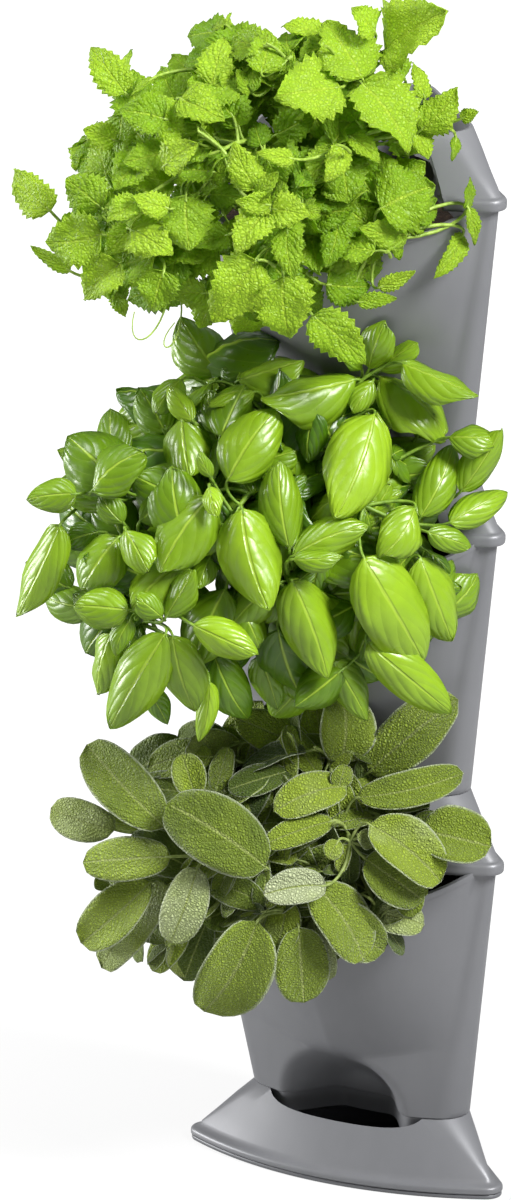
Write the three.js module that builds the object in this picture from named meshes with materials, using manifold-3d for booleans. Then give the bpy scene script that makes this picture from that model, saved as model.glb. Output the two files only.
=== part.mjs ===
// Vertical corner planter: a drip tray and its cover carry three stacked pots. Each pot has a lid
// whose funnel seats the foot of the next pot, and a front pocket where the herbs grow out.
// Millimetres, +Z up, front towards -Y. The origin is on the floor, in the middle of the chord
// between the two front corners.

import * as THREE from 'three';
import { mergeVertices } from 'three/addons/utils/BufferGeometryUtils.js';
import Module from 'manifold-3d';

const wasm = await Module();
wasm.setup();

// Stack
const TIER_PITCH = 190;
const CONE_HEIGHT = 37;
const WALL = 2.4;
const GAP = 0.4;

// Plan of the rims: two legs at 45 degrees meet at the back corner, and an arc closes the front.
const RIM_PLAN = { halfWidth: 105.5, chordY: 0, frontAngle: 30.4, cornerRadius: 9.5, backRadius: 12 };
const FOOT_PLAN = { halfWidth: 78, chordY: 16, frontAngle: 31.6, cornerRadius: 16, backRadius: 13 };
const FRONT_STEPS = 18;
const CORNER_STEPS = 2;
const TIGHTEST_CORNER = 1;

// Lid and cover
const BEAD_HEIGHT = 7;
const BEAD_WALL = 3.2;
const CONE_INSET = 3;
const CONE_WALL = 2.9;
const PLUG_DEPTH = 12;
const PLUG_INSET = 3;
const SHELF_WIDTH = 12;
const LEDGE_INSET = 10.2;
const LIP = { inset: 7.9, thickness: 2, bottom: -6, frontY: 10 };
const LID_FRONT = { centreY: -87, radius: 101 };
const WATER_SLOT = { centreY: 6, halfWidth: 50, halfDepth: 13, bottom: 18 };

// Tray
const TRAY_FLANGE = 2.5;
const TRAY_INSET = 0.6;
const DISH_INSET = 14;
const DISH_HEIGHT = 14;

// Pot, with heights counted from the rim plane
const POT_TOP = 4.2;
const POT_INSET = 4;
const SEAM = CONE_HEIGHT - TIER_PITCH + 0.3;
const PLUG_BOTTOM = SEAM - PLUG_DEPTH;
const CREASE = { middle: SEAM + 34, rise: 8 };
const POCKET = { push: 38, halfShare: 0.83, fullness: 0.7 };
const RIM_DIP = { depth: 20, halfShare: 0.97, slope: 1.1 };
const RIM_LIP = { width: 3, height: 4 };
const SCOOP = { centreY: -13, halfWidth: 42, depth: 35, height: 36 };
const DRAIN_RADIUS = 4;
const DRAINS = [[0, 62], [-36, 42], [36, 42], [-18, 46], [18, 46]];

// Planting
const COMPOST_TOP = -27;
const FOLIAGE_FLOOR = -86;
const FOLIAGE_CEILING = 102;

const PLASTIC = { color: 0x9a9da2, roughness: 0.42, metalness: 0.15 };
const TRAY_PLASTIC = { color: 0x8d9096, roughness: 0.45, metalness: 0.12 };
const COMPOST = { color: 0x2b1f18, roughness: 0.95, metalness: 0 };

const radians = THREE.MathUtils.degToRad;
const lerp = THREE.MathUtils.lerp;

// Geometry to solid and back

function solidOf(geometry) {
  const bare = geometry.clone();
  bare.deleteAttribute('normal');
  bare.deleteAttribute('uv');
  const merged = mergeVertices(bare, 1e-4);
  const mesh = new wasm.Mesh({
    numProp: 3,
    vertProperties: new Float32Array(merged.attributes.position.array),
    triVerts: new Uint32Array(merged.index.array),
  });
  mesh.merge();
  return new wasm.Manifold(mesh);
}

function geometryOf(solid) {
  const mesh = solid.getMesh();
  const geometry = new THREE.BufferGeometry();
  geometry.setAttribute('position', new THREE.BufferAttribute(mesh.vertProperties, 3));
  geometry.setIndex(new THREE.BufferAttribute(mesh.triVerts, 1));
  geometry.computeVertexNormals();
  return geometry;
}

function largestBody(solid) {
  const bodies = solid.decompose();
  bodies.sort((a, b) => b.volume() - a.volume());
  return bodies[0];
}

// Plan outlines: every outline has the same number of points, so any two can be lofted.

// Centre of the round front corner whose arc touches the leg and the front arc at this depth inside them.
function cornerCentre(plan, depth) {
  const arcRadius = plan.halfWidth / Math.sin(radians(plan.frontAngle));
  const arcRise = arcRadius * Math.cos(radians(plan.frontAngle));
  const reach = plan.halfWidth - depth * Math.SQRT2;
  const sum = reach + arcRise;
  const rest = (reach ** 2 + arcRise ** 2 - (arcRadius - depth) ** 2) / 2;
  const up = (sum - Math.sqrt(sum ** 2 - 4 * rest)) / 2;
  return { x: reach - up, y: plan.chordY + up, arcRadius, arcCentreY: plan.chordY + arcRise };
}

function arcPoints(centreX, centreY, radius, start, end, steps) {
  const points = [];
  for (let i = 0; i <= steps; i++) {
    const angle = lerp(start, end, i / steps);
    points.push(new THREE.Vector2(centreX + radius * Math.cos(angle), centreY + radius * Math.sin(angle)));
  }
  return points;
}

// The inset keeps the arcs' centres, until a corner is as tight as it may be.
function outline(plan, inset = 0) {
  const cornerDepth = Math.max(plan.cornerRadius, inset + TIGHTEST_CORNER);
  const backDepth = Math.max(plan.backRadius, inset + TIGHTEST_CORNER);
  const corner = cornerCentre(plan, cornerDepth);
  const frontEnd = Math.atan2(corner.y - corner.arcCentreY, corner.x);
  const frontStart = -Math.PI - frontEnd;
  const backY = plan.chordY + plan.halfWidth - backDepth * Math.SQRT2;
  const leg = Math.PI / 4;
  const front = arcPoints(0, corner.arcCentreY, corner.arcRadius - inset, frontStart, frontEnd, FRONT_STEPS);
  const right = arcPoints(corner.x, corner.y, cornerDepth - inset, frontEnd, leg, CORNER_STEPS);
  const back = arcPoints(0, backY, backDepth - inset, leg, Math.PI - leg, CORNER_STEPS);
  const left = right.map((point) => new THREE.Vector2(-point.x, point.y)).reverse();
  return [...front, ...right.slice(1), ...back, ...left.slice(0, -1)];
}

// Share of the front arc from -1 at the left corner to 1 at the right, or null behind it.
function frontShare(index) {
  return index <= FRONT_STEPS ? (2 * index) / FRONT_STEPS - 1 : null;
}

function insetRing(points, inset) {
  const count = points.length;
  return points.map((point, i) => {
    const before = points[(i + count - 1) % count];
    const after = points[(i + 1) % count];
    const along = new THREE.Vector2().subVectors(after, before).normalize();
    return new THREE.Vector3(point.x - along.y * inset, point.y + along.x * inset, point.z);
  });
}

function level(points, z) {
  return points.map((point) => new THREE.Vector3(point.x, point.y, z));
}

function loft(rings) {
  const count = rings[0].length;
  const positions = [];
  for (const ring of rings) {
    for (const point of ring) positions.push(point.x, point.y, point.z);
  }
  for (const ring of [rings[0], rings.at(-1)]) {
    const middle = new THREE.Vector3();
    for (const point of ring) middle.addScaledVector(point, 1 / count);
    positions.push(middle.x, middle.y, middle.z);
  }
  const bottom = rings.length * count;
  const top = bottom + 1;
  const last = (rings.length - 1) * count;
  const index = [];
  for (let i = 0; i < count; i++) {
    const next = (i + 1) % count;
    index.push(bottom, next, i, top, last + i, last + next);
    for (let r = 0; r + 1 < rings.length; r++) {
      const low = r * count;
      const high = low + count;
      index.push(low + i, low + next, high + next, low + i, high + next, high + i);
    }
  }
  const geometry = new THREE.BufferGeometry();
  geometry.setAttribute('position', new THREE.Float32BufferAttribute(positions, 3));
  geometry.setIndex(index);
  return geometry;
}

function prism(plan, inset, bottom, top) {
  const points = outline(plan, inset);
  return solidOf(loft([level(points, bottom), level(points, top)]));
}

function ellipticPost(centreY, halfWidth, halfDepth, bottom, top, sides = 32) {
  const geometry = new THREE.CylinderGeometry(1, 1, top - bottom, sides);
  geometry.rotateX(Math.PI / 2);
  geometry.scale(halfWidth, halfDepth, 1);
  geometry.translate(0, centreY, (top + bottom) / 2);
  return solidOf(geometry);
}

// Lid and cover: a bead round the rim, a slanted funnel and a socket for the next foot.

function socketOf(shell, hollow) {
  const block = prism(FOOT_PLAN, 0.2, CONE_HEIGHT - PLUG_DEPTH - WALL - GAP, CONE_HEIGHT + 3);
  const plugHole = prism(FOOT_PLAN, PLUG_INSET - GAP, CONE_HEIGHT - PLUG_DEPTH - GAP, CONE_HEIGHT + 3);
  const drop = prism(FOOT_PLAN, SHELF_WIDTH, 0, CONE_HEIGHT + 3);
  return shell.subtract(hollow.subtract(block)).subtract(plugHole).subtract(drop);
}

function ringsOf(profile) {
  return profile.map(([z, inset, plan = RIM_PLAN]) => level(outline(plan, inset), z));
}

function lidSolid() {
  const shell = solidOf(loft(ringsOf([
    [0, 1],
    [1.2, 0],
    [BEAD_HEIGHT - 1.6, 0],
    [BEAD_HEIGHT - 0.4, 0.7],
    [BEAD_HEIGHT, CONE_INSET - 0.8],
    [BEAD_HEIGHT + 1, CONE_INSET + 0.4],
    [CONE_HEIGHT, 0, FOOT_PLAN],
  ])));
  const hollow = solidOf(loft(ringsOf([
    [-1, BEAD_WALL],
    [POT_TOP + GAP, BEAD_WALL],
    [POT_TOP + GAP + 0.01, LEDGE_INSET],
    [BEAD_HEIGHT - 0.5, LEDGE_INSET],
    [BEAD_HEIGHT, CONE_INSET + CONE_WALL],
    [CONE_HEIGHT - 2, CONE_WALL, FOOT_PLAN],
  ])));
  const lipInside = LIP.inset + LIP.thickness;
  const lipRing = prism(RIM_PLAN, LIP.inset, LIP.bottom, 6).subtract(prism(RIM_PLAN, lipInside, LIP.bottom - 1, 7));
  const behind = new THREE.BoxGeometry(300, 200, 60);
  behind.translate(0, LIP.frontY + 100, 0);
  const lip = lipRing.intersect(solidOf(behind));
  const front = ellipticPost(LID_FRONT.centreY, LID_FRONT.radius, LID_FRONT.radius, -30, CONE_HEIGHT + 10, 60);
  return socketOf(shell, hollow).add(lip).subtract(front);
}

function coverSolid() {
  const shell = solidOf(loft(ringsOf([
    [TRAY_FLANGE + 0.3, 0.6],
    [TRAY_FLANGE + 0.9, 0],
    [BEAD_HEIGHT - 1, 0],
    [BEAD_HEIGHT, 1],
    [BEAD_HEIGHT + 0.8, 4],
    [BEAD_HEIGHT + 3.2, 6.4],
    [CONE_HEIGHT, 0, FOOT_PLAN],
  ])));
  const hollow = solidOf(loft(ringsOf([
    [TRAY_FLANGE - 0.7, BEAD_WALL],
    [BEAD_HEIGHT - 2, BEAD_WALL + 1],
    [BEAD_HEIGHT + 1, 6.4 + CONE_WALL],
    [CONE_HEIGHT - 2, CONE_WALL, FOOT_PLAN],
  ])));
  const slot = ellipticPost(
    WATER_SLOT.centreY, WATER_SLOT.halfWidth, WATER_SLOT.halfDepth, WATER_SLOT.bottom, CONE_HEIGHT + 5, 40,
  );
  return socketOf(shell, hollow).subtract(slot);
}

function traySolid() {
  const flange = prism(RIM_PLAN, TRAY_INSET, 0, TRAY_FLANGE);
  const wall = prism(RIM_PLAN, DISH_INSET, 0.5, DISH_HEIGHT);
  const well = prism(RIM_PLAN, DISH_INSET + WALL, TRAY_FLANGE, DISH_HEIGHT + 1);
  return flange.add(wall).subtract(well);
}

// Pot: a wall lofted from the foot to the rim, pushed out in front as a pocket.

function window(share, halfShare, fullness) {
  return share === null ? 0 : Math.max(0, 1 - (share / halfShare) ** 2) ** fullness;
}

function rimHeight(share) {
  return POT_TOP - RIM_DIP.depth * Math.min(1, window(share, RIM_DIP.halfShare, 1) * RIM_DIP.slope);
}

function creaseHeight(share) {
  return CREASE.middle + CREASE.rise * (share === null ? 1 : share ** 2);
}

// Point ring of the outer wall: above the crease, rise runs from 0 to 1 at the rim; below, from -1 at the seam.
function wallRing(rise, lip = 0, drop = 0) {
  const foot = outline(FOOT_PLAN);
  const rim = outline(RIM_PLAN, POT_INSET);
  return foot.map((low, i) => {
    const share = frontShare(i);
    const crease = creaseHeight(share);
    const z = rise < 0 ? lerp(crease, SEAM, -rise) : lerp(crease, rimHeight(share), rise) - drop;
    const taper = (z - SEAM) / (POT_TOP - SEAM);
    const bulge = rise > 0 ? (POCKET.push * rise * (1.1 - 0.1 * rise) + lip) : 0;
    const point = low.clone().lerp(rim[i], taper);
    const push = bulge * window(share, POCKET.halfShare, POCKET.fullness);
    const spread = share === null ? 0 : Math.asin(share * Math.sin(radians(FOOT_PLAN.frontAngle)));
    return new THREE.Vector3(point.x + push * Math.sin(spread), point.y - push * Math.cos(spread), z);
  });
}

function potBlank(inset) {
  const plug = outline(FOOT_PLAN, PLUG_INSET + inset);
  const floor = inset > 0 ? WALL : 0;
  const lipHeight = RIM_LIP.height;
  const rings = [
    level(plug, PLUG_BOTTOM + floor),
    level(plug, SEAM + floor),
    insetRing(wallRing(-1), inset).map((p) => p.setZ(SEAM + floor + 0.02)),
    insetRing(wallRing(-0.03), inset),
    insetRing(wallRing(0.08), inset),
  ];
  if (inset > 0) {
    const mouth = insetRing(wallRing(1), inset);
    rings.push(mouth, level(mouth, 20));
  } else {
    rings.push(wallRing(1, 0, lipHeight), wallRing(1, RIM_LIP.width, lipHeight - 0.5), wallRing(1, RIM_LIP.width, 0));
    rings.push(insetRing(wallRing(1), WALL + 3));
  }
  return solidOf(loft(rings));
}

function scoopSolid(grow) {
  const geometry = new THREE.SphereGeometry(1, 18, 8);
  geometry.rotateX(Math.PI / 2);
  geometry.scale(SCOOP.halfWidth + grow, SCOOP.depth + grow, SCOOP.height + grow);
  geometry.translate(0, SCOOP.centreY, SEAM);
  const below = ellipticPost(
    SCOOP.centreY, SCOOP.halfWidth + grow, SCOOP.depth + grow, PLUG_BOTTOM - 5, SEAM + 0.1, 18,
  );
  return solidOf(geometry).add(below);
}

function drainSolid(x, y) {
  const geometry = new THREE.CylinderGeometry(DRAIN_RADIUS, DRAIN_RADIUS, 12, 8);
  geometry.rotateX(Math.PI / 2);
  geometry.translate(x, y, PLUG_BOTTOM);
  return solidOf(geometry);
}

const scoop = scoopSolid(0);
const potOuter = potBlank(0).subtract(scoop);
const potInner = potBlank(WALL).subtract(scoopSolid(WALL));

function potSolid() {
  let pot = potOuter.subtract(potInner);
  for (const [x, y] of DRAINS) pot = pot.subtract(drainSolid(x, y));
  return pot;
}

function compostSolid() {
  const box = new THREE.BoxGeometry(400, 400, 200);
  box.translate(0, 0, COMPOST_TOP - 100);
  return potBlank(WALL + GAP).subtract(scoopSolid(WALL + GAP)).intersect(solidOf(box));
}

// Herbs: square stems with opposite leaves, each pair turned a quarter from the last.

// A row of sprigs fans out from the heading `from` to the heading `to`, in degrees from straight ahead
// and positive to the right. Reach is how far its tips stand out, and rise their height over the rim.
const HERBS = {
  sage: {
    color: 0x8fa682,
    leaf: { length: 64, width: 27, droop: 0.3, lift: 30 },
    rows: [
      { count: 4, root: 22, reach: 68, rise: -34, from: -75, to: 60, pairs: 2 },
      { count: 3, root: 12, reach: 66, rise: 16, from: -62, to: 46, pairs: 2 },
      { count: 2, root: 5, reach: 34, rise: 52, from: -35, to: 40, pairs: 2 },
    ],
  },
  basil: {
    color: 0x3f8a24,
    leaf: { length: 62, width: 38, droop: 0.35, lift: 25 },
    rows: [
      { count: 4, root: 22, reach: 84, rise: -34, from: -78, to: 64, pairs: 2 },
      { count: 3, root: 12, reach: 76, rise: 20, from: -66, to: 52, pairs: 2 },
      { count: 2, root: 5, reach: 38, rise: 58, from: -38, to: 42, pairs: 2 },
    ],
  },
  lemon_balm: {
    color: 0x86b52c,
    leaf: { length: 42, width: 30, droop: 0.3, lift: 30 },
    rows: [
      { count: 4, root: 22, reach: 100, rise: -40, from: -80, to: 60, pairs: 2 },
      { count: 3, root: 12, reach: 92, rise: 26, from: -70, to: 44, pairs: 3 },
      { count: 3, root: 5, reach: 46, rise: 74, from: -50, to: 44, pairs: 3 },
    ],
  },
};

// The herbs lean to the light on the left: reach grows by this share over a quarter turn.
const LEAN = 0.35;

const STEM_RADIUS = 1.8;
const STEM_STEPS = 4;

function stemCurve(heading, { root, reach, rise }) {
  const length = reach * (1 - (LEAN * heading) / (Math.PI / 2));
  const outward = new THREE.Vector3(Math.sin(heading), -Math.cos(heading), 0);
  const start = new THREE.Vector3(0, -24, COMPOST_TOP + 0.3).addScaledVector(outward, root);
  const tip = start.clone().addScaledVector(outward, length).setZ(rise);
  const straight = start.clone().setZ(Math.max(rise, 0) * 0.6 + 34);
  const bend = start.clone().addScaledVector(outward, length * 0.62).setZ(rise + 34);
  return new THREE.CubicBezierCurve3(start, straight, bend, tip);
}

function stemSolid(curve) {
  const section = new THREE.Shape();
  section.absarc(0, 0, STEM_RADIUS, 0, 2 * Math.PI);
  const options = { steps: STEM_STEPS, extrudePath: curve, curveSegments: 2 };
  return solidOf(new THREE.ExtrudeGeometry(section, options));
}

// Closed blade of three-point sections, left edge, right edge and keel, from stalk to tip.
function bladeGeometry(frame, leaf, size, grow = 0, start = 0) {
  const length = leaf.length * size;
  const half = (leaf.width * size) / 2 + grow;
  const thick = 0.9 + grow;
  const stations = [[start, 0.08 + start], [0.42, 1], [0.74, 0.7], [1, 0]];
  const positions = [];
  for (const [share, spread] of stations) {
    const middle = frame.base.clone().addScaledVector(frame.along, length * share);
    middle.addScaledVector(frame.up, -leaf.droop * length * share ** 2);
    const side = Math.max(half * spread, 1.2);
    const points = share === 1
      ? [middle]
      : [
        middle.clone().addScaledVector(frame.side, side).addScaledVector(frame.up, thick),
        middle.clone().addScaledVector(frame.side, -side).addScaledVector(frame.up, thick),
        middle.clone().addScaledVector(frame.up, -thick),
      ];
    for (const point of points) positions.push(point.x, point.y, point.z);
  }
  const index = [0, 1, 2];
  for (let station = 0; station < 2; station++) {
    for (let k = 0; k < 3; k++) {
      const a = station * 3 + k;
      const b = station * 3 + (k + 1) % 3;
      index.push(a, a + 3, b, b, a + 3, b + 3);
    }
  }
  for (let k = 0; k < 3; k++) index.push(6 + k, 9, 6 + (k + 1) % 3);
  const geometry = new THREE.BufferGeometry();
  geometry.setAttribute('position', new THREE.Float32BufferAttribute(positions, 3));
  geometry.setIndex(index);
  return geometry;
}

function leafFrame(curve, share, turn, lift) {
  const base = curve.getPoint(share);
  const stem = curve.getTangent(share);
  const across = new THREE.Vector3(stem.y, -stem.x, 0).normalize();
  across.applyAxisAngle(stem, turn);
  const along = across.multiplyScalar(Math.cos(lift)).addScaledVector(stem, Math.sin(lift));
  const side = new THREE.Vector3().crossVectors(along, new THREE.Vector3(0, 0, 1)).normalize();
  const up = new THREE.Vector3().crossVectors(side, along).normalize();
  return { base, along, side, up };
}

function withinHeights(solid) {
  const box = solid.boundingBox();
  return box.min[2] > FOLIAGE_FLOOR && box.max[2] < FOLIAGE_CEILING;
}

function clearOf(solid, obstacles) {
  return obstacles.every((obstacle) => solid.intersect(obstacle).isEmpty());
}

// A leaf keeps its natural place where it hangs free, or else turns by the first step that does.
function freeLeaf(curve, share, turn, size, herb, obstacles, neighbours) {
  for (const step of [0, 16, -16, 32, -32, 50, -50, 70]) {
    const frame = leafFrame(curve, share, turn, radians(herb.leaf.lift + step));
    const whole = solidOf(bladeGeometry(frame, herb.leaf, size, 0.7));
    const outer = solidOf(bladeGeometry(frame, herb.leaf, size, 0.7, 0.15));
    if (withinHeights(whole) && clearOf(whole, obstacles) && clearOf(outer, neighbours)) {
      return solidOf(bladeGeometry(frame, herb.leaf, size));
    }
  }
  return null;
}

function sprigSolid(curve, row, herb, obstacles) {
  let sprig = stemSolid(curve);
  const blades = [];
  for (let pair = 0; pair < row.pairs; pair++) {
    const share = lerp(0.45, 1, (pair + 1) / row.pairs) - 0.01;
    const size = lerp(1, 0.62, pair / row.pairs);
    for (const side of [0, Math.PI]) {
      const turn = side + (pair % 2) * Math.PI / 2;
      const blade = freeLeaf(curve, share, turn, size, herb, obstacles, blades);
      if (!blade) continue;
      blades.push(blade);
      sprig = sprig.add(blade);
    }
  }
  return largestBody(sprig);
}

function sprigsOf(herb, obstacles) {
  const sprigs = [];
  for (const row of herb.rows) {
    for (let i = 0; i < row.count; i++) {
      const heading = radians(lerp(row.from, row.to, i / (row.count - 1)));
      const curve = stemCurve(heading, row);
      sprigs.push(sprigSolid(curve, row, herb, [...obstacles, ...sprigs]));
    }
  }
  return sprigs;
}

// Assembly

const object = new THREE.Group();

function addPiece(group, name, solid, finish) {
  const mesh = new THREE.Mesh(geometryOf(solid), new THREE.MeshStandardMaterial(finish));
  mesh.name = name;
  group.add(mesh);
}

function liftSpace(withPotAbove) {
  const overLid = prism(RIM_PLAN, -1, -1, 150);
  const front = ellipticPost(LID_FRONT.centreY, LID_FRONT.radius - 1, LID_FRONT.radius - 1, -40, 160, 72);
  const space = overLid.subtract(front);
  if (!withPotAbove) return space;
  return space.add(potBlank(0).subtract(scoop).translate([0, 0, TIER_PITCH]));
}

const pot = potSolid();
const lid = lidSolid();
const compost = compostSolid();

addPiece(object, 'drip_tray', traySolid(), TRAY_PLASTIC);
addPiece(object, 'base_cover', coverSolid(), PLASTIC);

Object.entries(HERBS).forEach(([name, herb], i) => {
  const tier = i + 1;
  const group = new THREE.Group();
  group.position.z = tier * TIER_PITCH;
  addPiece(group, `pot_${tier}`, pot, PLASTIC);
  addPiece(group, `lid_${tier}`, lid, PLASTIC);
  addPiece(group, `compost_${tier}`, compost, COMPOST);
  const obstacles = [pot, lid, compost, liftSpace(tier < 3)];
  sprigsOf(herb, obstacles).forEach((sprig, n) => {
    addPiece(group, `${name}_sprig_${n + 1}`, sprig, { color: herb.color, roughness: 0.6, metalness: 0 });
  });
  object.add(group);
});

export default object;
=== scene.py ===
# Corner planter tower: smooth moulded pots, lids and base, crumbly compost and leafy herbs.
# Shapes are worked out in millimetres and scaled to metres when a piece is finished.
import random
from math import asin, atan2, cos, hypot, inf, pi, radians, sin, sqrt

import bmesh
import bpy
from mathutils import Matrix, Vector, noise


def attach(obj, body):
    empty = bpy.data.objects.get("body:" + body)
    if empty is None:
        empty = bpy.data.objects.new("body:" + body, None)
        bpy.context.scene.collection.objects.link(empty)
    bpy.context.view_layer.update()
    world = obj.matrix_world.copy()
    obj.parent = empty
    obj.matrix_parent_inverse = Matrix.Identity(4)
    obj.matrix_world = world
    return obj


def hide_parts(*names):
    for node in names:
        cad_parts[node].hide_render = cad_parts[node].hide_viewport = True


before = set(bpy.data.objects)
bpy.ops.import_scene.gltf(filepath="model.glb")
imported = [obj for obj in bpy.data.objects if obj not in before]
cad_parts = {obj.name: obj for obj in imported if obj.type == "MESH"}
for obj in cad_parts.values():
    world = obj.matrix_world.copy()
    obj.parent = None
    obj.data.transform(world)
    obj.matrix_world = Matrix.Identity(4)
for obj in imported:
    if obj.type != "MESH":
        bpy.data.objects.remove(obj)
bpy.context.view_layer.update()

# Stack
MM = 0.001
TIER_PITCH = 190
CONE_HEIGHT = 37
WALL = 2.4
GAP = 0.4

# Plan of the rims: two legs at 45 degrees meet at the back, and an arc closes the front.
RIM_PLAN = {"half_width": 105.5, "chord_y": 0, "front_angle": 30.4, "corner_radius": 9.5, "back_radius": 12}
FOOT_PLAN = {"half_width": 78, "chord_y": 16, "front_angle": 31.6, "corner_radius": 16, "back_radius": 13}
FRONT_STEPS = 72
CORNER_STEPS = 8
LEG_STEPS = 10
TIGHTEST_CORNER = 1

# Lid, cover and tray, with cutters that reach past the wall by CUT_OVER
CUT_OVER = 5
PLUG_DEPTH = 12
PLUG_INSET = 3
SHELF_WIDTH = 12
LEDGE_INSET = 10.2
LIP = {"inset": 7.9, "thickness": 2, "bottom": -6, "top": 5.5, "front_y": 10}
FRONT_BLOCK = (300, 200, 60)
LID_FRONT = {"centre_y": -87, "radius": 101, "bottom": -30}
WATER_SLOT = {"centre": (0, 6), "half_size": (50, 15.8), "bottom": 18}
TRAY_FLANGE = 2.5
DISH_INSET = 14
DISH_HEIGHT = 14

# Pot, with heights counted from the rim plane
POT_TOP = 4.2
POT_INSET = 4
SEAM = CONE_HEIGHT - TIER_PITCH + 0.3
PLUG_BOTTOM = SEAM - PLUG_DEPTH
CREASE = {"middle": SEAM + 28, "rise": 17, "power": 0.9}
POCKET = {"push": 38, "ease": 0.25, "half_share": 0.98, "fullness": 1.0}
RIM_DIP = {"depth": 20, "half_share": 0.97, "slope": 1.1}
RIM_LIP = {"width": 3, "height": 4}
SCOOP = {"half_width": 42, "height": 38, "depth": 30, "floor": 0.3}
FOOT_RISES = [-0.985 + 0.065 * k for k in range(15)]
POCKET_RISES = (-0.03, 0.0, 0.03, 0.07, 0.12, 0.17, 0.22, 0.28, 0.35, 0.45, 0.57, 0.7, 0.85)
INNER_RISES = (-0.8, -0.65, -0.5, -0.35, -0.2, -0.05, 0.05, 0.15, 0.3, 0.55, 0.8)
DRAIN = {"radius": 4, "sides": 24}
DRAINS = [(0, 62), (-36, 42), (36, 42), (-18, 46), (18, 46)]
COMPOST_TOP = -27
COMPOST_MIDDLE_Y = 20
COMPOST_BRIM_RISE = 0.74
COMPOST_SHARES = (1, 0.93, 0.8, 0.66, 0.52, 0.38, 0.24, 0.1)
COMPOST_WAVES = ((2.2, 0.12), (1.2, 0.45))
COMPOST_SINK = 1.6

# Finish of the moulded pieces
SHARP_ANGLE = radians(32)
BEVEL_ANGLE = radians(48)

# Room for leaves: what lies beyond every wall, and where the mouth and the lid begin.
FAR_OUTSIDE = -99
MOUTH_ZONE = 6
MOUTH_FRONT = -12
LID_ZONE = -10

# Studio: each lamp has its place, aim, size and watts.
LAMPS = {
    "left": ((-2.35, -0.65, 0.46), (0, 0, 0.25), 0.9, 70),
    "right": ((2.25, -0.4, 2.4), (0, 0, 0.3), 1.0, 159),
    "top": ((-0.9, -0.9, 2.8), (0, 0, 0.3), 0.8, 42),
}
SOFT_LIGHT = 0.17
FLOOR = {"half_size": 20, "grey": 0.42, "glow": 1.33, "glow_rise": 0.27, "glow_top": 1.73, "share": 0.6}


def lerp(a, b, share):
    return a + (b - a) * share


# Plan outlines: every outline has the same number of points, so any two can be lofted.

def front_arc(plan):
    radius = plan["half_width"] / sin(radians(plan["front_angle"]))
    return radius, radius * cos(radians(plan["front_angle"]))


def corner_centre(plan, depth):
    arc_radius, arc_rise = front_arc(plan)
    reach = plan["half_width"] - depth * sqrt(2)
    total = reach + arc_rise
    rest = (reach ** 2 + arc_rise ** 2 - (arc_radius - depth) ** 2) / 2
    up = (total - sqrt(total ** 2 - 4 * rest)) / 2
    return reach - up, plan["chord_y"] + up, arc_radius, plan["chord_y"] + arc_rise


def arc(centre_x, centre_y, radius, start, end, steps):
    angles = [lerp(start, end, i / steps) for i in range(steps + 1)]
    return [Vector((centre_x + radius * cos(a), centre_y + radius * sin(a))) for a in angles]


def straight(start, end):
    return [start.lerp(end, i / LEG_STEPS) for i in range(1, LEG_STEPS)]


def outline(plan, inset=0.0):
    corner_depth = max(plan["corner_radius"], inset + TIGHTEST_CORNER)
    back_depth = max(plan["back_radius"], inset + TIGHTEST_CORNER)
    x, y, arc_radius, arc_y = corner_centre(plan, corner_depth)
    front_end = atan2(y - arc_y, x)
    back_y = plan["chord_y"] + plan["half_width"] - back_depth * sqrt(2)
    leg = pi / 4
    front = arc(0, arc_y, arc_radius - inset, -pi - front_end, front_end, FRONT_STEPS)
    right = arc(x, y, corner_depth - inset, front_end, leg, CORNER_STEPS)
    back = arc(0, back_y, back_depth - inset, leg, pi - leg, CORNER_STEPS)
    left = [Vector((-p.x, p.y)) for p in reversed(right)]
    return (front + right[1:] + straight(right[-1], back[0]) + back
            + straight(back[-1], left[0]) + left[:-1])


def front_share(index):
    return 2 * index / FRONT_STEPS - 1 if index <= FRONT_STEPS else None


def level(points, z):
    return [Vector((p.x, p.y, z)) for p in points]


def inset_ring(points, inset):
    moved = []
    for i, point in enumerate(points):
        along = points[(i + 1) % len(points)] - points[i - 1]
        along = Vector((along.x, along.y)).normalized()
        moved.append(Vector((point.x - along.y * inset, point.y + along.x * inset, point.z)))
    return moved


def plan_ring(z, share, inset):
    rim = outline(RIM_PLAN, inset)
    foot = outline(FOOT_PLAN, inset)
    return level([a.lerp(b, share) for a, b in zip(rim, foot)], z)


# Skin through the rings: a grid whose rows are laid on the rings and whose seam is merged.
def loft(rings, closed=False):
    rows = list(rings) + ([rings[0]] if closed else [])
    count = len(rows[0])
    shell = bmesh.new()
    bmesh.ops.create_grid(shell, x_segments=count, y_segments=len(rows) - 1, size=1)
    for vert in shell.verts:
        column = round((vert.co.x + 1) / 2 * count) % count
        row = round((vert.co.y + 1) / 2 * (len(rows) - 1))
        vert.co = rows[row][column]
    bmesh.ops.remove_doubles(shell, verts=shell.verts, dist=1e-5)
    if not closed:
        rims = [edge for edge in shell.edges if edge.is_boundary]
        bmesh.ops.holes_fill(shell, edges=rims, sides=0)
    bmesh.ops.recalc_face_normals(shell, faces=shell.faces)
    return shell


# Upright round or oval cutter.
def post(centre, half_size, bottom, top, sides):
    shell = bmesh.new()
    bmesh.ops.create_cone(shell, cap_ends=True, segments=sides, radius1=1, radius2=1, depth=1)
    bmesh.ops.scale(shell, vec=(*half_size, top - bottom), verts=shell.verts)
    bmesh.ops.translate(shell, vec=(*centre, (top + bottom) / 2), verts=shell.verts)
    return solid_of(shell)


def add_object(name, data):
    made = bpy.data.objects.new(name, data)
    bpy.context.scene.collection.objects.link(made)
    return made


def object_of(name, shell):
    mesh = bpy.data.meshes.new(name)
    shell.to_mesh(mesh)
    shell.free()
    return add_object(name, mesh)


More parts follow.
